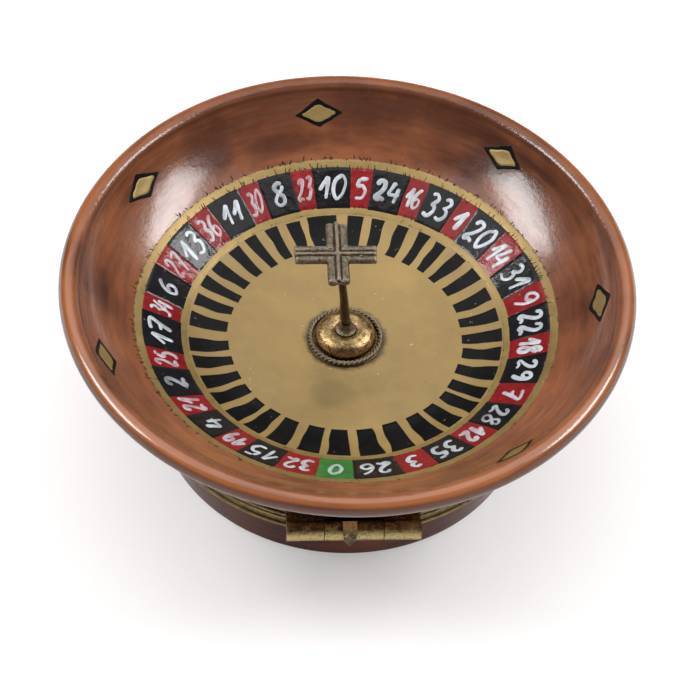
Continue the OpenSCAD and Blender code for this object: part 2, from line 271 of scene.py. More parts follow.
class Paint:
    """Collects patches and brush strokes of one paint into one mesh."""

    def __init__(self):
        self.verts, self.faces, self.tint = [], [], []
        self.count = 0

    def grid(self, points, ring=False, tint=(1, 1, 1, 1)):
        """A grid of points as quads. With ring, its last row joins its first."""
        rows, cols = points.shape[:2]
        self.verts.append(points.reshape(-1, 3))
        for i in range(rows if ring else rows - 1):
            for j in range(cols - 1):
                q = (i + 1) % rows
                self.faces.append([self.count + k for k in
                                   (i * cols + j, q * cols + j, q * cols + j + 1, i * cols + j + 1)])
        self.count += rows * cols
        tint = np.asarray(tint, float)
        self.tint.append(tint.reshape(-1, 4) if tint.ndim > 1 else np.tile(tint, (rows * cols, 1)))

    def patch(self, theta, r, height, edge=0.1, ring=False):
        """A grid of theta (degrees) and r (mm) raised by height, its edge run down to the lid."""
        def grown(v):
            v = np.hstack([v[:, :1], v, v[:, -1:]])
            return v if ring else np.vstack([v[:1], v, v[-1:]])
        t, q = grown(theta), grown(r)
        h = np.full(t.shape, height)
        h[:, 0] = h[:, -1] = -SUNK
        q[:, 0] -= edge * np.sign(q[:, 2] - q[:, 1])
        q[:, -1] += edge * np.sign(q[:, -2] - q[:, -3])
        if not ring:
            h[0] = h[-1] = -SUNK
            width = np.degrees(edge / q)
            t[0] -= width[0] * np.sign(t[2] - t[1])
            t[-1] += width[-1] * np.sign(t[-2] - t[-3])
        self.grid(on_lid(t, q, h).reshape(*t.shape, 3), ring)

    def stroke(self, points, at, width, height, low=0.0, tint=(1, 1, 1, 1), across=6, taper=None):
        """A brush stroke: points are (right, out) in mm about at = (theta, r), head outward."""
        path = smooth_path(points, 0.09)
        n = len(path)
        tangent = np.gradient(path, axis=0)
        tangent /= np.maximum(np.linalg.norm(tangent, axis=1), 1e-9)[:, None]
        side = np.column_stack([-tangent[:, 1], tangent[:, 0]])
        along = np.concatenate([[0], np.cumsum(np.linalg.norm(np.diff(path, axis=0), axis=1))])
        left = np.minimum(along, along[-1] - along)
        half = np.full(n, width / 2)
        if taper is not None:
            half = half * np.interp(along / along[-1], np.linspace(0, 1, len(taper)), taper)
        cap = np.sqrt(np.clip(1 - (1 - np.clip(left / half, 0.02, 1)) ** 2, 0, 1))
        theta, r, h = [], [], []
        lean = math.cos(math.atan(np.interp(at[1], RUN_R, RUN_SLOPE)))
        for k in range(across + 1):
            u = 2 * k / across - 1
            p = path + side * (half * cap * u)[:, None]
            theta.append(at[0] - np.degrees(p[:, 0] / at[1]))
            r.append(at[1] + p[:, 1] * lean)
            h.append(low - 0.02 + (height + 0.02) * cap * max(0.0, 1 - u * u) ** 0.4)
        theta, r, h = (np.array(v).T for v in (theta, r, h))
        self.grid(on_lid(theta, r, h).reshape(n, across + 1, 3),
                  tint=np.repeat(tint, across + 1, axis=0) if np.ndim(tint) > 1 else tint)

    def build(self, name, material):
        """Makes the paint one object on the lid, with each point's colour as its tint."""
        obj = new_object(name, np.vstack(self.verts), self.faces, [material])
        attribute = obj.data.color_attributes.new("tint", "FLOAT_COLOR", "POINT")
        attribute.data.foreach_set("color", np.vstack(self.tint).ravel())
        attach(obj, "lid")


def brushed(start, end, inner, outer, seed, wobble, columns):
    """A sector with hand-drawn edges. start and end are angles at (inner, outer) radii."""
    draw = random.Random(seed)
    v = np.linspace(0, 1, 13)
    waves = [(draw.uniform(-1, 1), draw.uniform(0, PI2), draw.uniform(4, 9)) for _ in range(2)]
    edge = [wobble * a * np.sin(p + f * v) for a, p, f in waves]
    left = np.interp(v, [0, 1], start) + np.degrees(edge[0] / outer)
    right = np.interp(v, [0, 1], end) + np.degrees(edge[1] / outer)
    u = np.linspace(0, 1, columns)[:, None]
    theta = left * (1 - u) + right * u
    r = np.broadcast_to(inner + (outer - inner) * v, theta.shape)
    return theta, r


# ---------------------------------------------------------------- materials

class Shader:
    """A material's node tree. Most calls add nodes and give the output that is used next."""

    def __init__(self, name):
        self.material = bpy.data.materials.new(name)
        self.material.use_nodes = True
        self.tree = self.material.node_tree
        self.tree.nodes.clear()
        self.out = self.tree.nodes.new("ShaderNodeOutputMaterial")

    def put(self, socket, value):
        """Links an output to the socket, or sets a constant on it."""
        if isinstance(value, bpy.types.NodeSocket):
            self.tree.links.new(value, socket)
        elif value is not None:
            socket.default_value = (*value, 1) if socket.type == "RGBA" else value

    def node(self, kind, inputs=(), **settings):
        """Adds a node. inputs are in the sockets' order, or go by name or number."""
        n = self.tree.nodes.new("ShaderNode" + kind)
        for key, value in settings.items():
            setattr(n, key, value)
        pairs = inputs.items() if isinstance(inputs, dict) else enumerate(inputs)
        for key, value in pairs:
            self.put(n.inputs[key], value)
        return n

    def math(self, operation, a, b=None):
        return self.node("Math", (a, b), operation=operation).outputs[0]

    def plus(self, a, b):
        return self.math("ADD", a, b)

    def times(self, a, b):
        return self.math("MULTIPLY", a, b)

    def place(self):
        return self.node("TexCoord").outputs["Object"]

    def noise(self, scale, detail, rough, vector=None, distortion=0.0):
        """Grey noise. Its features are about 1/scale across, in metres unless vector is given."""
        return self.node("TexNoise", {"Vector": vector or self.place(), "Scale": scale,
                                      "Detail": detail, "Roughness": rough,
                                      "Distortion": distortion}).outputs["Fac"]

    def ramp(self, fac, stops):
        """Colours that fac runs through. stops are pairs of a place and a colour."""
        n = self.node("ValToRGB", (fac,))
        ramp = n.color_ramp
        while len(ramp.elements) < len(stops):
            ramp.elements.new(0.5)
        for e, (at, colour) in zip(ramp.elements, stops):
            e.position = at
            e.color = (*colour, 1)
        return n.outputs["Color"]

    def level(self, fac, low, high, a=0.0, b=1.0):
        """Maps fac's run from low to high on to a to b, and holds it there."""
        return self.node("MapRange", {"Value": fac, "From Min": low, "From Max": high,
                                      "To Min": a, "To Max": b}).outputs[0]

    def mix(self, fac, a, b):
        return self.node("Mix", {0: fac, 6: a, 7: b}, data_type="RGBA").outputs[2]

    def bump(self, height, strength, distance):
        return self.node("Bump", {"Height": height, "Strength": strength,
                                  "Distance": distance}).outputs[0]

    def finish(self, **inputs):
        """Ends the tree in a principled shader, whose inputs are named with _ for a space."""
        inputs = {key.replace("_", " "): value for key, value in inputs.items()}
        shader = self.node("BsdfPrincipled", inputs)
        self.tree.links.new(shader.outputs[0], self.out.inputs[0])
        return self.material

    def xyz_r(self):
        """The place's x, y and z, and its distance from the wheel's axis."""
        x, y, z = self.node("SeparateXYZ", (self.place(),)).outputs
        flat = self.node("CombineXYZ", (x, y)).outputs[0]
        return x, y, z, self.node("VectorMath", (flat,), operation="LENGTH").outputs["Value"]

    def round_coords(self, along, across):
        """Coordinates that run round the wheel's axis, for streaks: no seam anywhere."""
        x, y, z, r = self.xyz_r()
        r = self.math("MAXIMUM", r, 1e-5)
        turn = [self.times(self.math("DIVIDE", v, r), along) for v in (x, y)]
        level = self.times(self.plus(z, self.times(r, -0.4)), across)
        return self.node("CombineXYZ", (*turn, level)).outputs[0]

    def dab(self, colour, cloud, paint):
        """Dabs a soft, ragged cloud of paint on the colour. cloud is its angle, its radius, half its
        length and breadth in mm, and its strength."""
        angle, at, along, across, strength = cloud
        x, y, _, r = self.xyz_r()
        off = self.math("SUBTRACT", self.math("ARCTAN2", y, x), math.radians(angle))
        off = self.times(off, at / along)
        out = self.math("DIVIDE", self.math("SUBTRACT", r, at * MM), across * MM)
        far = self.plus(self.times(off, off), self.times(out, out))
        far = self.plus(far, self.times(self.noise(210, 3, 0.5), 1.7))
        return self.mix(self.level(far, 2.15, 0.95, 0, strength), colour, paint)


# Darker clouds on the wall: angle, radius, half their length and breadth in mm, strength.
CLOUDS = [(92, 31, 27, 3.4, 0.58), (124, 30.2, 3.8, 2.8, 0.8), (104, 28.3, 8.5, 1.3, 0.65),
          (83, 31, 7, 2.1, 0.75), (62, 32.1, 5.5, 1.4, 0.6), (30, 28.6, 5.5, 1.3, 0.4),
          (178, 30.3, 6, 1.5, 0.18), (-20, 30.2, 6, 1.2, 0.25)]
FLOOR_STAIN = (-102, 9.3, 3.0, 2.2, 0.42)


def wall_and_lip(s, colour, streak, blotch, dark, lip):
    """The lid's own touches on the glaze: clouds on the wall, and a pitted lip, painted lighter along its
    top and darker on its outer underside as painted highlight and painted shade.
    Gives the colour, a factor for the shine, and the height of the pitting."""
    _, y, z, r = s.xyz_r()
    for cloud in CLOUDS:
        colour = s.dab(colour, cloud, dark)
    # The lip's crest is painted lighter, most of all on the hinge side: partly its own lighter paint,
    # partly a painted highlight along its top.
    crest = s.level(r, LIP_R - 2 * MM, LIP_R - 1.1 * MM, 0, 0.9)
    top = s.level(z, LIP_Z - 0.65 * MM, LIP_Z - 0.25 * MM)
    near = s.level(y, 0, 25 * MM, 1, 0.4)
    crest = s.times(s.times(crest, top), near)
    colour = s.mix(s.times(crest, s.level(streak, 0.35, 0.6, 0.35, 1)), colour, lip)
    # Its outer, lower side is duller and painted darker: painted shade under the lip.
    outside = s.times(s.level(r, LIP_R - 2 * MM, LIP_R - 1.4 * MM),
                      s.level(z, LIP_Z - 0.3 * MM, LIP_Z - 0.75 * MM, 0, 0.88))
    colour = s.mix(outside, colour, dark)
    shine = s.level(outside, 0, 0.88, 1, 0.3)
    # The lip is glossy on the hinge side and dull on the far side.
    polish = s.level(y, 12 * MM, -9 * MM, 0.3, 2.2)
    shine = s.mix(s.level(r, LIP_R - 1.9 * MM, LIP_R - 1.3 * MM), shine, s.times(shine, polish))
    # A thin dark line runs round where the lip meets the wall.
    seam = s.times(s.level(r, LIP_R - 2.6 * MM, LIP_R - 2.45 * MM),
                   s.level(r, LIP_R - 2.2 * MM, LIP_R - 2.35 * MM))
    colour = s.mix(s.times(seam, s.level(blotch, 0.35, 0.6, 0.15, 0.7)), colour, dark)
    # The lip's inner side is pitted like orange peel.
    inner = s.times(s.level(r, LIP_R - 5 * MM, LIP_R - 3 * MM, 0.03, 1),
                    s.level(r, LIP_R - 0.6 * MM, LIP_R - 1.4 * MM, 0.1, 1))
    upward = s.node("SeparateXYZ", (s.node("TexCoord").outputs["Normal"],)).outputs[2]
    inner = s.times(inner, s.level(upward, 0, 0.3))
    peel = s.times(s.times(inner, 1.1), s.noise(2100, 2, 0.6))
    return colour, shine, peel


def glaze(name, dark, middle, light, lip=None, gloss=0.5, coat=0.3):
    """Brown glaze brushed round the wheel like polished wood grain."""
    s = Shader(name)
    streak = s.noise(1, 4, 0.6, s.round_coords(2.2, 1200), 0.4)
    fine = s.noise(1, 3, 0.6, s.round_coords(6, 4200))
    blotch = s.noise(75, 3, 0.5)
    tone = s.plus(s.times(streak, 0.32), s.times(blotch, 0.68))
    colour = s.ramp(tone, [(0.34, dark), (0.47, middle), (0.64, light)])
    colour = s.mix(s.level(fine, 0.4, 0.68, 0, 0.42), colour, dark)
    height = s.plus(s.noise(240, 2, 0.5), s.times(s.noise(1900, 3, 0.6), 0.3))
    if lip:
        colour, shine, peel = wall_and_lip(s, colour, streak, blotch, dark, lip)
        height = s.plus(height, peel)
        coat = s.times(shine, coat)
        gloss = s.times(s.math("MINIMUM", shine, 1), gloss)
    specks = s.noise(1100, 2, 0.5)
    colour = s.mix(s.level(specks, 0.7, 0.78, 0, 0.5), colour, dark)
    return s.finish(Base_Color=colour, Roughness=s.level(fine, 0.3, 0.7, 0.17, 0.25),
                    Coat_Weight=coat, Coat_Roughness=0.1, Specular_IOR_Level=gloss,
                    Normal=s.bump(height, 0.14, 0.0004))


def gilding(name, low, high, rough=0.4, scale=260, metallic=0.2, grime_shade_r=None, worn=()):
    """Burnished gold paint, faintly mottled and rubbed. Its edges at the radii in worn are chewed.
    With a turret's radius given, it is darker close round it, partly dirt and partly painted shade."""
    s = Shader(name)
    mottle = s.noise(scale, 5, 0.62)
    patch = s.noise(55, 3, 0.5)
    tone = s.plus(s.times(mottle, 0.4), s.times(patch, 0.6))
    colour = s.ramp(tone, [(0.35, low), (0.62, high)])
    speck = s.noise(1300, 2, 0.5)
    colour = s.mix(s.level(speck, 0.73, 0.79, 0, 0.5), colour, (0.75, 0.66, 0.5))
    colour = s.mix(s.level(speck, 0.26, 0.21, 0, 0.5), colour, (0.12, 0.07, 0.025))
    r = s.xyz_r()[3]
    # Darker close round the turret: partly dirt, partly painted shade at its foot.
    if grime_shade_r:
        near = s.level(r, grime_shade_r + 1.3 * MM, grime_shade_r - 0.2 * MM)
        dirt_shade = s.level(s.plus(s.noise(900, 4, 0.7), s.times(near, 0.55)), 0.72, 0.95)
        colour = s.mix(s.times(dirt_shade, near), colour, (0.055, 0.04, 0.022))
        colour = s.dab(colour, FLOOR_STAIN, (0.11, 0.085, 0.036))
    for edge in worn:
        off = s.math("ABSOLUTE", s.math("SUBTRACT", r, edge * MM))
        near = s.plus(s.level(off, 0.35 * MM, 0.0, 0, 0.3), s.noise(1500, 4, 0.7))
        colour = s.mix(s.level(near, 0.66, 0.78, 0, 0.9), colour, (0.04, 0.025, 0.012))
    return s.finish(Base_Color=colour, Metallic=metallic, Roughness=s.level(mottle, 0.3, 0.7, rough - 0.05,
                    rough + 0.1), Normal=s.bump(s.noise(700, 4, 0.6), 0.12, 0.0002))


def enamel(name, colour, shade, rough=0.22, gloss=0.05, coat=0.45):
    """Glossy enamel laid on with a brush: a slight change of tone and a few pinholes."""
    s = Shader(name)
    tone = s.mix(s.level(s.noise(450, 4, 0.6), 0.35, 0.68), colour, shade)
    pinhole = s.noise(1700, 2, 0.5)
    tone = s.mix(s.level(pinhole, 0.72, 0.77, 0, 0.6), tone, (0.4, 0.33, 0.22))
    waves = s.bump(s.noise(900, 3, 0.55), 0.2, 0.00025)
    return s.finish(Base_Color=tone, Roughness=s.level(s.noise(600, 3, 0.6), 0.3, 0.7, rough,
                    rough + 0.16), Specular_IOR_Level=gloss, Coat_Weight=coat, Coat_Roughness=0.1,
                    Normal=waves, Coat_Normal=waves)


def brush_white(name):
    """White brushed over the pockets, thin enough in places to let the ground show."""
    s = Shader(name)
    ground = s.node("VertexColor", layer_name="tint").outputs["Color"]
    thin = s.level(s.noise(1100, 4, 0.65), 0.42, 0.7, 0.0, 0.5)
    colour = s.mix(thin, ground, s.mix(0.55, ground, (0.0, 0.0, 0.0)))
    return s.finish(Base_Color=colour, Roughness=0.3, Coat_Weight=0.3,
                    Normal=s.bump(s.noise(1800, 3, 0.6), 0.2, 0.0002))


def old_metal(name, bright, dark, grime_shade, rough=0.38, scale=420, wear=0.45, reach=1.0, metallic=0.85,
              lit_face=None, grime_shade_r=None, rough_skin=0.45):
    """Aged brass or bronze: worn bright on the crests, faintly pitted, and darker where nearby
    surfaces close in, partly patina in the hollows and partly painted shade. reach is how far that
    darkening reaches, in mm. Faces that look along a given direction are painted brighter, a painted
    highlight: that direction, how much, and the cosine where it starts. Beyond a given radius it is all the
    darkest tone, partly dirt and partly painted shade."""
    s = Shader(name)
    crest = s.node("NewGeometry").outputs["Pointiness"]
    cloud = s.noise(scale, 5, 0.72)
    # Darker where nearby surfaces close in: partly patina in the hollows, partly painted shade.
    open_air = s.node("AmbientOcclusion", {"Distance": reach * MM}, samples=8).outputs["AO"]
    tone = s.plus(s.times(s.level(crest, 0.46, 0.55), wear), s.times(cloud, 1 - wear))
    tone = s.times(tone, s.level(open_air, 0.25, 0.85, 0.45, 1.0))
    # Painted highlight: faces turned the given way are lighter.
    if lit_face:
        way, amount, start = lit_face
        facing = s.node("VectorMath", (s.node("TexCoord").outputs["Normal"], way),
                        operation="DOT_PRODUCT").outputs["Value"]
        tone = s.plus(tone, s.level(facing, start, 0.98, -0.6 * amount, amount))
    colour = s.ramp(tone, [(0.24, grime_shade), (0.42, dark), (0.62, bright)])
    # All dark past that radius: partly dirt, partly painted shade.
    if grime_shade_r:
        r = s.xyz_r()[3]
        colour = s.mix(s.level(r, grime_shade_r, grime_shade_r + 0.1 * MM, 0, 0.85), colour, grime_shade)
    pits = s.noise(scale * 4, 3, 0.7)
    colour = s.mix(s.level(pits, 0.46, 0.32, 0, 0.85), colour, grime_shade)
    colour = s.mix(s.level(pits, 0.6, 0.72, 0, 0.5), colour, bright)
    height = s.plus(s.times(pits, 0.6), cloud)
    return s.finish(Base_Color=colour, Metallic=metallic, Roughness=s.level(cloud, 0.3, 0.7, rough - 0.08,
                    rough + 0.16), Normal=s.bump(height, rough_skin, 0.00025))


def porcelain(name):
    """Plain white glaze, as inside the box and under the lid."""
    s = Shader(name)
    tone = s.mix(s.level(s.noise(120, 3, 0.5), 0.35, 0.7), (0.86, 0.85, 0.81), (0.78, 0.77, 0.73))
    return s.finish(Base_Color=tone, Roughness=s.level(s.noise(300, 2, 0.5), 0.3, 0.7, 0.1, 0.2),
                    Coat_Weight=0.4, Coat_Roughness=0.04,
                    Normal=s.bump(s.noise(200, 2, 0.5), 0.1, 0.0004))


WOOD = glaze("wood_glaze", (0.07, 0.0215, 0.0105), (0.22, 0.072, 0.031), (0.31, 0.106, 0.044),
             lip=(0.34, 0.11, 0.033))
BASE_BROWN = glaze("base_glaze", (0.034, 0.0095, 0.006), (0.068, 0.0175, 0.0095), (0.1, 0.028, 0.0135),
                   gloss=0.02, coat=0.0)
WHITE = porcelain("white_porcelain")
DOME_FLANGE_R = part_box("turret_dome")[1][0]
GOLD = gilding("floor_gold", (0.235, 0.155, 0.055), (0.35, 0.235, 0.08), grime_shade_r=DOME_FLANGE_R)
GOLD_LINES = gilding("line_gold", (0.23, 0.15, 0.05), (0.36, 0.25, 0.09), 0.38, 600,
                     metallic=0.45, worn=(*GOLD_LINE, *INNER_LINE))
BLACK = enamel("black_enamel", (0.005, 0.005, 0.006), (0.011, 0.01, 0.012))
BAR_BLACK = enamel("bar_enamel", (0.004, 0.004, 0.0042), (0.008, 0.0075, 0.0075), 0.3,
                   gloss=0.08, coat=0.06)
RED = enamel("red_enamel", (0.25, 0.012, 0.015), (0.17, 0.008, 0.01))
GREEN = enamel("green_enamel", (0.035, 0.19, 0.035), (0.024, 0.12, 0.026))
DIGIT = brush_white("digit_white")
HAIR = enamel("dark_hairline", (0.012, 0.008, 0.005), (0.03, 0.02, 0.01), 0.5,
              gloss=0.1, coat=0.0)
RIM_BRASS = old_metal("rim_brass", (0.3, 0.215, 0.09), (0.1, 0.066, 0.028), (0.03, 0.018, 0.01))
# The hinge's faces turned to the front are painted lighter, a painted highlight, and its 2.2 mm reach
# paints shade on the barrel under the lid's lip.
HINGE_BRASS = old_metal("hinge_brass", (0.46, 0.35, 0.15), (0.14, 0.092, 0.045), (0.045, 0.028, 0.018),
                        0.36, 900, wear=0.15, reach=2.2, lit_face=((0, -0.94, 0.34), 0.18, 0.8))
# The stop's upward faces are painted brighter: a painted highlight on its top facet.
STOP_BRASS = old_metal("stop_brass", (0.8, 0.62, 0.27), (0.13, 0.085, 0.036), (0.03, 0.017, 0.01),
                       0.34, 900, wear=0.1, reach=0.6, metallic=0.6,
                       lit_face=((0, 0, 1), 0.3, 0.55))
CLASP_BRASS = old_metal("clasp_brass", (0.4, 0.29, 0.12), (0.18, 0.12, 0.05), (0.045, 0.027, 0.014))
# Past its radius the dome is the darkest tone: partly dirt, partly painted shade under the twisted wire.
DOME_BRONZE = old_metal("dome_bronze", (0.56, 0.4, 0.18), (0.24, 0.15, 0.07), (0.07, 0.038, 0.02),
                        0.2, 1300, wear=0.15, reach=1.4, metallic=0.95,
                        grime_shade_r=DOME_FLANGE_R - 0.62 * MM, rough_skin=0.22)
COLLAR_BRONZE = old_metal("collar_bronze", (0.25, 0.21, 0.13), (0.12, 0.098, 0.062),
                          (0.035, 0.026, 0.016), 0.36, 700, wear=0.3, reach=0.8)
ROPE_BRONZE = old_metal("rope_bronze", (0.27, 0.22, 0.15), (0.06, 0.044, 0.028), (0.012, 0.008, 0.005),
                        0.45, 900, wear=0.55, reach=0.7)
STEM_BRONZE = old_metal("stem_bronze", (0.085, 0.05, 0.024), (0.026, 0.0145, 0.008), (0.012, 0.007, 0.005),
                        0.34, 600, wear=0.25, metallic=0.5)
CROSS_BRONZE = old_metal("cross_bronze", (0.29, 0.24, 0.175), (0.09, 0.064, 0.042), (0.03, 0.0125, 0.008),
                         0.44, 900, wear=0.5, reach=0.8, metallic=0.75)
INNER_BRASS = old_metal("inner_brass", (0.7, 0.52, 0.24), (0.45, 0.32, 0.14), (0.2, 0.13, 0.06), 0.3)

# ---------------------------------------------------------------- porcelain

RIM_R, _, RIM_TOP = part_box("lid_rim")[1]
FOOT_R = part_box("base_shell")[1][0]
BASE_RIM_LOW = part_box("base_rim")[0][2]


def lid_zone(r, z):
    """White, 1, inside the lid and in its rim's seat, and wood, 0, elsewhere."""
    inside = r < RIM_R - 0.3 * MM and z < np.interp(r / MM, RUN_R, RUN_Z) * MM - 1.2 * MM
    return int(z < RIM_TOP or inside)


def base_zone(r, z):
    """White, 1, inside the base, in its rim's seat and under the foot, and brown, 0, elsewhere."""
    inside = r < FOOT_R - 3.4 * MM or (r < FOOT_R - 1.9 * MM and z > 2.2 * MM)
    return int(inside or z < 0.08 * MM or z > BASE_RIM_LOW + 0.1 * MM)


lid = turned("lid_porcelain", "lid_bowl", [WOOD, WHITE], zone=lid_zone, uneven=True)
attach(lid, "lid")

base = turned("base_porcelain", "base_shell", [BASE_BROWN, WHITE], zone=base_zone)
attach(base, "base")

# ---------------------------------------------------------------- paint

rng = random.Random(36)

gold = Paint()
gold.patch(*np.meshgrid(np.linspace(0, 360, 240, endpoint=False),
                        np.linspace(FLOOR_GOLD_IN, RING[0] + 0.1, 40), indexing="ij"), H_GOLD, ring=True)
gold.build("gilded_floor", GOLD)


def painted_line(paint, radii, seed, uneven):
    """A raised ring drawn by hand: both edges wander."""
    draw = random.Random(seed)
    a = np.linspace(0, 360, 720, endpoint=False)
    edges = []
    for _ in range(2):
        wave = sum(draw.uniform(-1, 1) / k ** 0.5 * np.sin(np.radians(a * k) + draw.uniform(0, PI2))
                   for k in (2, 3, 5, 8, 13, 21, 34))
        edges.append(uneven * wave / 2)
    v = np.linspace(0, 1, 7)
    low = (radii[0] + edges[0])[:, None]
    high = (radii[1] + edges[1])[:, None]
    r = low + (high - low) * v
    h = H_LINE * np.clip(1 - (2 * v - 1) ** 2, 0, 1) ** 0.3 - 0.015
    paint.grid(on_lid(a[:, None], r, h).reshape(*r.shape, 3), ring=True)


lines = Paint()
painted_line(lines, GOLD_LINE, 3, 0.1)
painted_line(lines, INNER_LINE, 5, 0.08)
lines.build("gold_lines", GOLD_LINES)

pockets = {"red": Paint(), "black": Paint(), "green": Paint()}
span = 360 / sum(w for _, w in POCKETS)
edge_at = ZERO_AT + POCKETS[0][1] * span / 2
spots = []
for k, (number, width) in enumerate(POCKETS):
    width *= span
    colour = "green" if k == 0 else ("red" if k % 2 else "black")
    lean = [rng.uniform(-0.35, 0.35) for _ in range(2)]
    theta, r = brushed((edge_at - width + lean[0], edge_at - width - lean[0]),
                       (edge_at + lean[1], edge_at - lean[1]), RING[0] - 0.15, RING[1] + 0.1, k, 0.05, 13)
    # The reds were painted first, and the others lap over them.
    pockets[colour].patch(theta, r, H_POCKET + (0.0 if colour == "red" else 0.012))
    spots.append((number, edge_at - width / 2, width, colour))
    edge_at -= width
pockets["red"].build("pockets_red", RED)
pockets["black"].build("pockets_black", BLACK)
pockets["green"].build("pocket_green", GREEN)

# Brushed digits, one unit high: each one's width, and its strokes of a few points each.
DIGITS = {
    "0": (0.56, [[(0.36, 1.0), (0.1, 0.78), (0.04, 0.36), (0.22, 0.0), (0.46, 0.2), (0.54, 0.66),
                  (0.36, 1.0), (0.2, 0.92)]]),
    "1": (0.42, [[(0.0, 0.4), (0.2, 0.72), (0.36, 1.0)], [(0.36, 1.0), (0.34, 0.55), (0.3, 0.0)]]),
    "2": (0.58, [[(0.1, 0.74), (0.2, 0.96), (0.42, 0.94), (0.46, 0.7), (0.3, 0.4), (0.08, 0.16),
                  (0.2, 0.04), (0.36, 0.14), (0.6, 0.04)]]),
    "3": (0.54, [[(0.1, 0.9), (0.3, 1.0), (0.46, 0.82), (0.34, 0.6), (0.2, 0.56)],
                 [(0.2, 0.56), (0.44, 0.48), (0.5, 0.24), (0.32, 0.02), (0.04, 0.1)]]),
    "4": (0.6, [[(0.26, 1.0), (0.14, 0.66), (0.02, 0.36), (0.3, 0.34), (0.58, 0.4)],
                [(0.48, 0.74), (0.44, 0.36), (0.38, -0.06)]]),
    "5": (0.54, [[(0.54, 0.98), (0.2, 0.94)], [(0.2, 0.94), (0.12, 0.6), (0.36, 0.6), (0.5, 0.34),
                                               (0.36, 0.06), (0.04, 0.04)]]),
    "6": (0.54, [[(0.44, 1.0), (0.18, 0.74), (0.04, 0.36), (0.2, 0.02), (0.46, 0.14), (0.46, 0.4),
                  (0.26, 0.48), (0.08, 0.3)]]),
    "7": (0.56, [[(0.02, 0.88), (0.22, 0.96), (0.54, 0.96), (0.42, 0.5), (0.28, 0.0)],
                 [(0.12, 0.48), (0.52, 0.54)]]),
    "8": (0.54, [[(0.44, 0.86), (0.3, 1.0), (0.12, 0.84), (0.24, 0.56), (0.46, 0.32), (0.42, 0.06),
                  (0.2, 0.0), (0.06, 0.2), (0.2, 0.46), (0.42, 0.68), (0.44, 0.86)]]),
    "9": (0.54, [[(0.46, 0.76), (0.3, 0.54), (0.1, 0.66), (0.14, 0.92), (0.34, 1.0), (0.48, 0.8),
                  (0.46, 0.4), (0.3, 0.0)]]),
}
WHITE_PAINT = np.array((0.56, 0.61, 0.66))
GROUND = {"red": np.array((0.3, 0.03, 0.04)), "black": np.array((0.03, 0.03, 0.035)),
          "green": np.array((0.03, 0.2, 0.05))}

numbers = Paint()
for number, theta, width, colour in spots:
    text = str(number)
    tall = DIGIT_H * rng.uniform(0.9, 1.08)
    room = math.radians(width) * (sum(RING) / 2) - 0.35
    natural = sum(DIGITS[c][0] + DIGIT_GAP for c in text) - DIGIT_GAP
    wide = min(tall, room / (natural + 0.26))
    brush_scale = min(1.0, max(0.66, wide / 2.1))
    x = -natural * wide / 2
    slant = rng.uniform(0.02, 0.16)
    thin = rng.uniform(0.0, 0.45)
    for c in text:
        advance, strokes = DIGITS[c]
        shift = rng.uniform(-0.12, 0.12)
        rng.random()    # an unused draw, which keeps the later ones as they are
        for stroke in strokes:
            points = [(x + px * wide + slant * (py - 0.5) * tall, (py - 0.5) * tall + shift)
                      for px, py in stroke]
            points = [(px + rng.uniform(-0.05, 0.05), py + rng.uniform(-0.05, 0.05))
                      for px, py in points]
            brush = BRUSH_W * brush_scale * rng.uniform(0.85, 1.15)
            n = len(smooth_path(points, 0.09))
            wash = thin + 0.3 * np.clip(np.sin(np.linspace(rng.uniform(0, 6), rng.uniform(4, 12), n)), 0, 1)
            wash = np.clip(wash, 0, 0.75)[:, None]
            shade = np.column_stack([WHITE_PAINT * (1 - wash) + GROUND[colour] * wash, np.ones(n)])
            numbers.stroke(points, (theta, DIGIT_R), brush, H_DIGIT - H_POCKET, H_POCKET, tint=shade,
                           taper=[rng.uniform(0.7, 1.1) for _ in range(4)])
        x += (advance + DIGIT_GAP) * wide
numbers.build("numbers", DIGIT)

bars = Paint()
for k, middle in enumerate(BARS_AT):
    gap = (BARS_AT[(k + 1) % len(BARS_AT)] - BARS_AT[k - 1]) % 360 / 2
    share = 0.95 if middle == WIDE_BAR else 0.64 - 0.1 * math.sin(math.radians(middle))
    outer = gap * share * rng.uniform(0.47, 0.52)
    inner = gap * share * rng.uniform(0.42, 0.46)
    skew = rng.uniform(-0.4, 0.4)
    theta, r = brushed((middle - inner + skew, middle - outer - skew),
                       (middle + inner + skew, middle + outer - skew),
                       BARS[0] + rng.uniform(-0.15, 0.2), BARS[1] + rng.uniform(-0.12, 0.12),
                       100 + k, 0.12, 9)
    bars.patch(theta, r, H_BAR, 0.06)
bars.build("floor_bars", BAR_BLACK)


def lozenge(paint, theta, centre_r, size, height, rounded, seed):
    """A hand-drawn diamond along the rim, its corners pointed or rounded."""
    draw = random.Random(seed)
    length, width = size
    corners = [(length / 2, 0), (0, width / 2), (-length / 2, 0), (0, -width / 2)]
    corners = [(x + draw.uniform(-0.15, 0.15), y + draw.uniform(-0.1, 0.1)) for x, y in corners]
    outline = []
    for i in range(4):
        a, b = np.array(corners[i]), np.array(corners[(i + 1) % 4])
        for t in (rounded, 0.3, 0.5, 0.7, 1 - rounded):
            outline.append(a + (b - a) * t + np.array([draw.uniform(-0.05, 0.05) for _ in "xy"]))
    outline = smooth_path(outline, 0.12, closed=True)
    lean = math.cos(math.atan(np.interp(centre_r, RUN_R, RUN_SLOPE)))
    rings = []
    for scale, h in ((1.02, -SUNK), (1.0, height * 0.7), (0.96, height), (0.7, height),
                     (0.4, height), (0.02, height)):
        p = outline * scale
        rings.append(on_lid(theta - np.degrees(p[:, 0] / centre_r), centre_r + p[:, 1] * lean,
                            np.full(len(p), h)))
    paint.grid(np.array(rings).transpose(1, 0, 2), ring=True)


outlines, gilt = Paint(), Paint()
for k, (theta, centre_r) in enumerate(DIAMONDS):
    lozenge(outlines, theta, centre_r, DIAMOND_SIZE, 0.03, 0.03, k)
    lozenge(gilt, theta, centre_r, [v - w for v, w in zip(DIAMOND_SIZE, DIAMOND_LINE)], 0.05, 0.12, k)
outlines.build("diamond_outlines", BAR_BLACK)
gilt.build("diamonds", GOLD_LINES)

hairs = Paint()
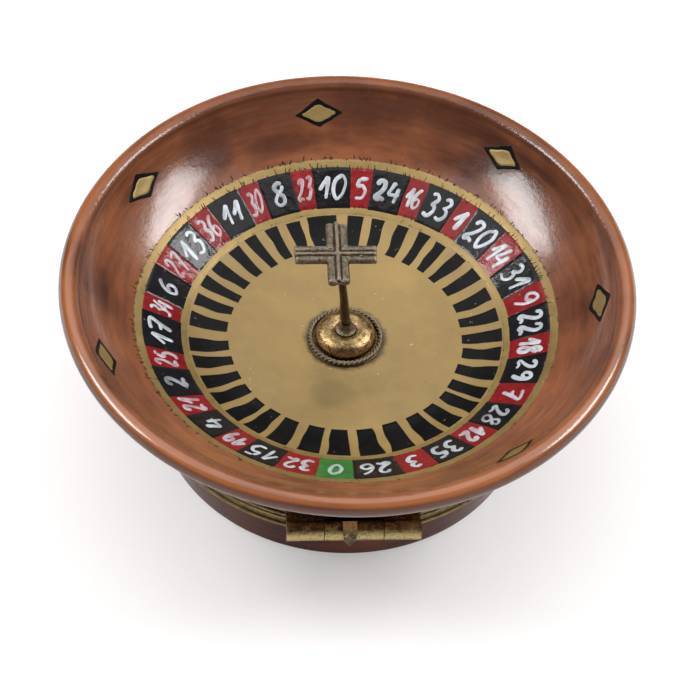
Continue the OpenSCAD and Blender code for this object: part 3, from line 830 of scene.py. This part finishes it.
# Fine cracks: the edge they start from, how many, how long in mm, and the stretch in degrees
# where they crowd.
CRACKS = [(GOLD_LINE[1], 150, 0.5, (20, 240)), (RING[1] + 0.05, 170, 0.65, (0, 150)),
          (INNER_LINE[1], 130, 0.5, (-60, 160)), (INNER_LINE[1], 60, 0.45, (120, 260))]
for r0, count, length, stretch in CRACKS:
    for _ in range(count):
        theta = rng.uniform(*stretch) if rng.random() < 0.75 else rng.uniform(0, 360)
        reach = length * rng.uniform(0.3, 1.3)
        start = rng.uniform(-0.4, 0.05)
        bend = rng.uniform(-0.3, 0.3)
        hairs.stroke([(0, start), (bend * 0.7, start + reach / 2), (bend, start + reach)], (theta, r0),
                     rng.uniform(0.08, 0.15), 0.03, H_LINE - 0.015, across=4)
hairs.build("hairlines", HAIR)

# ---------------------------------------------------------------- brass

METALS = {
    "base_knuckle": HINGE_BRASS, "hinge_stop": STOP_BRASS, "hinge_pin": HINGE_BRASS,
    "lid_knuckle_left": HINGE_BRASS, "lid_knuckle_right": HINGE_BRASS, "catch_stud": CLASP_BRASS,
    "clasp_tab": CLASP_BRASS, "clasp_bead": CLASP_BRASS, "turret_bush": INNER_BRASS,
    "turret_washer": INNER_BRASS, "retaining_nut": INNER_BRASS, "handle_solder": STEM_BRONZE}
WORN_EDGE = 0.09
WORN_STOP = 0.3         # the stop's beak is filed rounder
for node, metal in METALS.items():
    mesh = NODES[node].data
    mesh.materials.clear()
    mesh.materials.append(metal)
    worn = NODES[node].modifiers.new("worn_edges", "BEVEL")
    worn.width = (WORN_STOP if node == "hinge_stop" else WORN_EDGE) * MM
    worn.segments = 3
    worn.limit_method = "ANGLE"
    worn.angle_limit = math.radians(35)

# The turned brass, drawn again with dense smooth sides: node, body, metal, slot, sides.
TURNED = [("lid_rim", "lid", RIM_BRASS, "rim_brass", 360),
          ("base_rim", "base", RIM_BRASS, "rim_brass", 360),
          ("turret_dome", "lid", DOME_BRONZE, "turret_bronze", 120),
          ("turret_collar", "lid", COLLAR_BRONZE, "turret_bronze", 72)]
for node, body, metal, slot, count in TURNED:
    piece = turned(node + "_metal", node, [metal], 0.12, count)
    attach(piece, body)


def twisted_wire(name, node, material):
    """The wire round the turret, twisted from two strands."""
    strands, turns = 2, 23
    steps, sides = 14, 10       # of a strand, per turn and round it
    low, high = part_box(node)
    wire = (high[2] - low[2]) / 2
    ring = high[0] - wire
    middle = (high[2] + low[2]) / 2
    strand = wire * 0.85
    reach = wire * 0.5
    n = turns * steps
    verts, faces = [], []
    for s in range(strands):
        for k in range(n):
            a = PI2 * k / n
            twist = turns * a + PI2 * s / strands
            out = Vector((math.cos(a), math.sin(a), 0))
            centre = out * (ring + 1.3 * reach * math.cos(twist))
            centre.z = middle + reach * math.sin(twist)
            for j in range(sides):
                b = PI2 * j / sides
                verts.append(centre + (out * math.cos(b) + Vector((0, 0, math.sin(b)))) * strand)
        start = s * n * sides
        for k in range(n):
            for j in range(sides):
                q, i = (k + 1) % n, (j + 1) % sides
                faces.append([start + k * sides + j, start + q * sides + j, start + q * sides + i,
                              start + k * sides + i])
    obj = new_object(name, verts, faces, [material])
    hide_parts(node)
    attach(obj, "lid")


twisted_wire("twisted_wire", "turret_rope_ring", ROPE_BRONZE)


def closed_loft(name, loops, material):
    """A closed skin over loops of equal length, with a flat face at each end."""
    n = len(loops[0])
    verts = [v for loop in loops for v in loop]
    faces = []
    for k in range(len(loops) - 1):
        for j in range(n):
            i = (j + 1) % n
            faces.append([k * n + j, k * n + i, (k + 1) * n + i, (k + 1) * n + j])
    faces.append(list(range(n)))
    faces.append([(len(loops) - 1) * n + j for j in range(n)])
    return new_object(name, verts, faces, [material])


# The stem swells where it leaves the collar, and was filed by hand above it.
STEM_LOW, STEM_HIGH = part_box("handle_stem")
BEND_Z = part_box("turret_collar")[1][2] + 0.67 * MM
STEM_R = 0.5 * MM
stem_top = Vector((STEM_LOW[0] + 0.9 * STEM_R, 0, STEM_HIGH[2]))
bend = Vector((0, 0, BEND_Z))
loops = []
for t in np.linspace(0, 1, 12):
    loops.append((Vector((0, 0, STEM_LOW[2])).lerp(bend - Vector((0, 0, 0.5 * MM)), t), STEM_R))
for t in np.linspace(0, 1, 40):
    swell = 1 + 0.26 * math.exp(-(t / 0.28) ** 2) - 0.1 * t
    centre = bend.lerp(stem_top, t)
    centre.x -= 0.16 * MM * math.sin(math.pi * min(1, 2 * t + 0.3)) ** 2 * (1 - t)
    loops.append((centre, STEM_R * swell))
skin = []
for centre, radius in loops:
    ring = []
    for j in range(28):
        a = PI2 * j / 28
        dent = 1 + 0.05 * noise.noise(Vector((math.cos(a), math.sin(a), centre.z * 900)))
        ring.append(centre + Vector((math.cos(a), math.sin(a), 0)) * radius * dent)
    skin.append(ring)
stem = closed_loft("stem", skin, STEM_BRONZE)
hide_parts("handle_stem")
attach(stem, "handle")

# The cross: two round ribs side by side along each arm, with a thin one between them.
RIB_R = 0.52
RIB_AT = 0.8
THIN_R = 0.29
THIN_UP = 0.22
GROOVE = 0.06
TIP = 0.22              # how far an arm's end is rounded
ARM_HALF = RIB_AT + RIB_R
back_low, back_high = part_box("handle_arm_back")
CROSS_TOP = back_high[2]
CROSS_C = Vector(((back_low[0] + back_high[0]) / 2, 0, CROSS_TOP - (THIN_UP + THIN_R) * MM))


def rib_height(t):
    """Height of an arm's upper face at t mm across it, over the ribs' centres."""
    outer = math.sqrt(max(0.0, RIB_R ** 2 - (abs(t) - RIB_AT) ** 2))
    thin = THIN_UP + math.sqrt(max(0.0, THIN_R ** 2 - t * t)) if abs(t) < THIN_R else 0
    return max(outer, thin, GROOVE if abs(t) < RIB_AT else 0)


def arm_section():
    """The arm's outline as (t, z) in mm, its grooves softened as cast metal is."""
    t = ARM_HALF * np.sin(np.linspace(-math.pi / 2, math.pi / 2, 61))
    z = np.array([rib_height(v) for v in t])
    soft = np.convolve(np.pad(z, 1, mode="edge"), (0.25, 0.5, 0.25), "valid")
    low = np.array([-0.8 * math.sqrt(max(0.0, RIB_R ** 2 - max(0.0, abs(v) - RIB_AT) ** 2)) for v in t])
    top = np.column_stack([t, soft])
    under = np.column_stack([t, low])[::-3]
    return np.vstack([top, under[1:-1]])


def cross_arm(node, angle, rib_ends, seed):
    """One arm, mitred at the middle. rib_ends are how far its three ribs' ends stand back."""
    outline = arm_section()
    low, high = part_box(node)
    axis = 0 if angle % 180 == 0 else 1
    length = (high[axis] - low[axis]) / MM
    c, s = math.cos(math.radians(angle)), math.sin(math.radians(angle))
    skin = []
    stations = [(v, 0.0) for v in np.linspace(0, 1, 26)] + [(1, 0.35), (1, 0.7), (1, 0.92)]
    for v, cap in stations:
        ring = []
        for t, z in outline:
            end = length - TIP - np.interp(t, (-RIB_AT, -0.35, -0.3, 0.3, 0.35, RIB_AT),
                                            (rib_ends[0], rib_ends[0], rib_ends[1], rib_ends[1],
                                             rib_ends[2], rib_ends[2]))
            along = abs(t) + (end - abs(t)) * v + TIP * math.sqrt(1 - (1 - cap) ** 2)
            home = RIB_AT * np.sign(t) if abs(t) > 0.35 else 0
            shrink = 1 - 0.55 * cap ** 2
            tt, zz = home + (t - home) * shrink, z * shrink
            zz += 0.035 * noise.noise(Vector((along * 1.7, t * 1.7 + seed, z * 2)))
            tt *= 1 + 0.02 * noise.noise(Vector((along * 0.8, seed, 0)))
            ring.append(CROSS_C + Vector((along * c - tt * s, along * s + tt * c, zz)) * MM)
        skin.append(ring)
    arm = closed_loft(node.replace("handle_", "") + "_ribbed", skin, CROSS_BRONZE)
    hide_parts(node)
    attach(arm, "handle")


cross_arm("handle_arm_right", 0, (0.05, 0.0, 0.0), 1)
cross_arm("handle_arm_back", 90, (0.2, -0.2, 0.1), 2)
cross_arm("handle_arm_left", 180, (0.0, 0.05, 0.1), 3)
cross_arm("handle_arm_front", -90, (0.0, 0.3, 0.1), 4)

# ---------------------------------------------------------------- stage, light and camera

# The floor glows more away from the wheel, so it fades into white.
FLOOR = 12.0            # metres from the middle to each side
floor_mesh = bpy.data.meshes.new("floor")
floor_mesh.from_pydata([(-FLOOR, -FLOOR, 0), (FLOOR, -FLOOR, 0), (FLOOR, FLOOR, 0), (-FLOOR, FLOOR, 0)],
                       [], [(0, 1, 2, 3)])
floor = bpy.data.objects.new("floor", floor_mesh)
bpy.context.scene.collection.objects.link(floor)
pale = Shader("pale_floor")
floor_r = pale.xyz_r()[3]
floor_mesh.materials.append(pale.finish(
    Base_Color=pale.ramp(pale.noise(6, 2, 0.5), [(0.3, (0.84, 0.84, 0.84)), (0.7, (0.87, 0.87, 0.87))]),
    Roughness=0.9, Emission_Color=(1.0, 1.0, 1.0),
    Emission_Strength=pale.level(floor_r, 0.25, 0.8, 0.2, 0.95)))


def toward(azimuth, elevation):
    """Unit vector that way from the wheel. Azimuth 0 is the hinge side, and 90 is +X."""
    az, el = math.radians(azimuth), math.radians(elevation)
    return Vector((math.sin(az) * math.cos(el), -math.cos(az) * math.cos(el), math.sin(el)))


def softbox(name, direction, distance, size, power, aim, mirrored=True):
    """A rectangular light that faces aim from a direction (azimuth, elevation) round it."""
    back = toward(*direction)
    light = bpy.data.lights.new(name, "AREA")
    light.shape = "RECTANGLE"
    light.size, light.size_y = size
    light.energy = power
    obj = bpy.data.objects.new(name, light)
    obj.location = aim + back * distance
    obj.rotation_euler = back.to_track_quat("Z", "Y").to_euler()
    obj.visible_camera = False
    obj.visible_glossy = mirrored
    bpy.context.scene.collection.objects.link(obj)


middle = Vector((0, 0, LIP_Z * 0.6))
softbox("left_softbox", (-100, 44), 0.5, (0.25, 0.12), 1.25, middle)
softbox("right_softbox", (99, 43), 0.5, (0.25, 0.12), 1.25, middle)
softbox("overhead", (180, 72), 0.8, (1.2, 0.9), 4.9, middle)
softbox("front_fill", (0, 28), 0.7, (0.9, 0.3), 2.15, middle, mirrored=False)

world = bpy.data.worlds.new("studio")
world.use_nodes = True
background = world.node_tree.nodes["Background"]
background.inputs["Color"].default_value = (1, 1, 1, 1)
background.inputs["Strength"].default_value = 0.12
bpy.context.scene.world = world
bpy.context.scene.view_settings.view_transform = "Standard"

CAMERA_AZIMUTH = -5.2
CAMERA_ELEVATION = 50.3
CAMERA_ROLL = 3.54
CAMERA_DISTANCE = 0.3133
CAMERA_LENS = 128.57    # mm, on Blender's 36 mm sensor
CAMERA_AIM = (0.69, 11.32)  # mm to the right of the wheel's axis and above the table
back = toward(CAMERA_AZIMUTH, CAMERA_ELEVATION)
right = toward(CAMERA_AZIMUTH + 90, 0)
target = (right * CAMERA_AIM[0] + Vector((0, 0, CAMERA_AIM[1]))) * MM
camera = bpy.data.objects.new("camera", bpy.data.cameras.new("camera"))
camera.data.lens = CAMERA_LENS
camera.data.clip_start = 0.01
axes = Matrix((right, back.cross(right), back)).transposed()
camera.matrix_world = (Matrix.Translation(target + back * CAMERA_DISTANCE) @ axes.to_4x4()
                       @ Matrix.Rotation(math.radians(CAMERA_ROLL), 4, "Z"))
bpy.context.scene.collection.objects.link(camera)
bpy.context.scene.camera = camera
